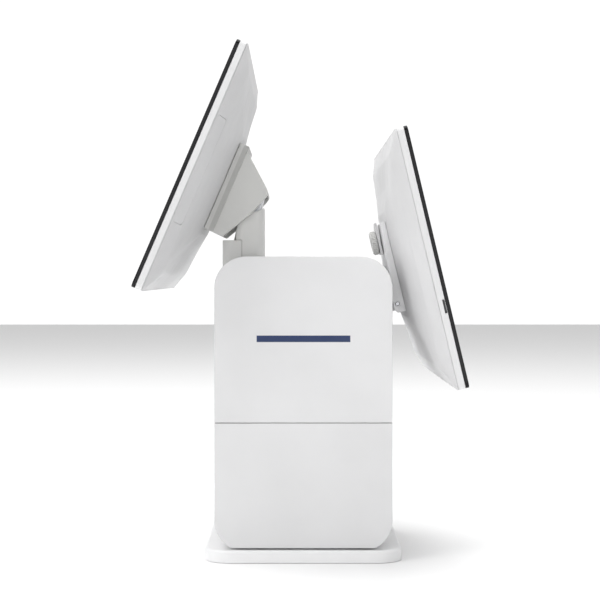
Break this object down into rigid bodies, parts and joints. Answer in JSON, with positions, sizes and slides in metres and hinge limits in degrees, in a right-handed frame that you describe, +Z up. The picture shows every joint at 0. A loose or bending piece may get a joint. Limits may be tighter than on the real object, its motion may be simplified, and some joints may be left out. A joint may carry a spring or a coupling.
{
  "type": "pos touchscreen terminal",
  "caption": "Countertop point of sale terminal: tall body with receipt printer, tilting touch display on a neck for the operator and a tilting customer display behind.",
  "frame": {"origin": "middle of the outer box, on the surface the feet stand on", "axes": "+Z up, +Y across the machine, the operator stands at -X and the customer at +X"},
  "size_m": [0.3012, 0.38, 0.482],
  "materials": {
    "white_plastic": "fine satin texture",
    "grey_plastic": "satin",
    "black_glass": "polished, black printed border",
    "lcd_module": "smooth",
    "dark_plastic": "satin",
    "steel": "zinc plated sheet",
    "aluminium": "extruded",
    "black_rubber": "matte",
    "circuit_board": "solder mask",
    "nylon_gear": "natural nylon",
    "paper": "thermal paper"
  },
  "bodies": {
    "terminal_body": {"base_cover": "white_plastic", "chassis_top": "steel", "chassis_wall_left": "steel", "chassis_wall_right": "steel", "dc_inlet": "dark_plastic", "drawer_port": "steel", "feed_motor": "steel", "foot_front_left": "black_rubber", "foot_front_right": "black_rubber", "foot_rear_left": "black_rubber", "foot_rear_right": "black_rubber", "front_lower_cover": "white_plastic", "front_upper_cover": "white_plastic", "heat_sink": "aluminium", "hinge_block": "steel", "hinge_shaft": "steel", "io_board": "circuit_board", "lan_port": "steel", "motherboard": "circuit_board", "neck_column": "grey_plastic", "neck_front_cover": "grey_plastic", "neck_post": "steel", "print_head": "steel", "printer_housing": "dark_plastic", "printer_shelf": "steel", "rear_bracket": "steel", "rear_lower_cover": "white_plastic", "rear_upper_cover": "white_plastic", "side_panel_left_lower": "white_plastic", "side_panel_left_upper": "white_plastic", "side_panel_right_lower": "white_plastic", "side_panel_right_upper": "white_plastic", "top_cover": "white_plastic", "usb_port_pair": "steel"},
    "main_display": {"main_touch_glass": "black_glass", "main_lcd_panel": "lcd_module", "main_frame": "white_plastic", "main_back_cover": "white_plastic", "main_side_cover": "white_plastic", "main_hinge_cover": "grey_plastic", "tilt_bracket": "steel"},
    "main_power_key": {"main_power_button": "dark_plastic"},
    "customer_display": {"customer_touch_glass": "black_glass", "customer_lcd_panel": "lcd_module", "customer_frame": "white_plastic", "customer_back_cover": "white_plastic", "customer_arm": "white_plastic", "knob_flange": "white_plastic", "customer_hinge_pin": "steel"},
    "customer_key": {"customer_side_key": "dark_plastic"},
    "clamp_knob": {"thumb_knob": "grey_plastic"},
    "door": {"printer_door": "white_plastic"},
    "platen": {"platen_roller": "black_rubber", "platen_shaft": "steel", "platen_gear": "nylon_gear"},
    "idler": {"idler_gear": "nylon_gear"},
    "pinion": {"motor_pinion": "nylon_gear"},
    "roll": {"paper_roll": "paper"},
    "release_key": {"door_release_button": "grey_plastic"},
    "feed_key": {"paper_feed_button": "grey_plastic"}
  },
  "joints": [
    {"name": "main_tilt", "type": "hinge", "parent": "terminal_body", "child": "main_display", "pos_m": [-0.04559, 0, 0.34912], "axis": [0, 1, 0], "range_deg": [-12, 20]},
    {"name": "main_power_push", "type": "slide", "parent": "main_display", "child": "main_power_key", "axis": [0.3939, 0, 0.9191], "range_m": [0, 0.001], "stiffness_N_per_m": 300, "springref_m": -0.0005},
    {"name": "customer_tilt", "type": "hinge", "parent": "terminal_body", "child": "customer_display", "pos_m": [0.09586, 0, 0.2435], "axis": [0, 1, 0], "range_deg": [-4, 20]},
    {"name": "customer_key_push", "type": "slide", "parent": "customer_display", "child": "customer_key", "axis": [0, 1, 0], "range_m": [0, 0.001], "stiffness_N_per_m": 300, "springref_m": -0.0005},
    {"name": "clamp_knob_turn", "type": "hinge", "parent": "customer_display", "child": "clamp_knob", "pos_m": [0.07828, 0, 0.30438], "axis": [-0.9728, 0, -0.2317], "range_deg": [0, 360]},
    {"name": "door_swing", "type": "hinge", "parent": "terminal_body", "child": "door", "pos_m": [-0.07949, 0, 0.1423], "axis": [0, -1, 0], "range_deg": [0, 80]},
    {"name": "platen_spin", "type": "hinge", "parent": "door", "child": "platen", "pos_m": [-0.06869, 0, 0.212], "axis": [0, 1, 0], "continuous": true},
    {"name": "idler_spin", "type": "hinge", "parent": "terminal_body", "child": "idler", "pos_m": [-0.04801, 0, 0.20835], "axis": [0, 1, 0], "continuous": true},
    {"name": "pinion_spin", "type": "hinge", "parent": "terminal_body", "child": "pinion", "pos_m": [-0.03437, 0, 0.19691], "axis": [0, 1, 0], "continuous": true},
    {"name": "roll_spin", "type": "hinge", "parent": "terminal_body", "child": "roll", "pos_m": [-0.03869, 0, 0.178], "axis": [0, 1, 0], "continuous": true},
    {"name": "release_push", "type": "slide", "parent": "terminal_body", "child": "release_key", "axis": [1, 0, 0], "range_m": [0, 0.0015], "stiffness_N_per_m": 300, "springref_m": -0.0005},
    {"name": "feed_push", "type": "slide", "parent": "terminal_body", "child": "feed_key", "axis": [1, 0, 0], "range_m": [0, 0.001], "stiffness_N_per_m": 300, "springref_m": -0.0005}
  ],
  "couplings": [
    {"joint": "idler_spin", "follows": "platen_spin", "ratio": -0.625},
    {"joint": "pinion_spin", "follows": "platen_spin", "ratio": 1.6667}
  ]
}
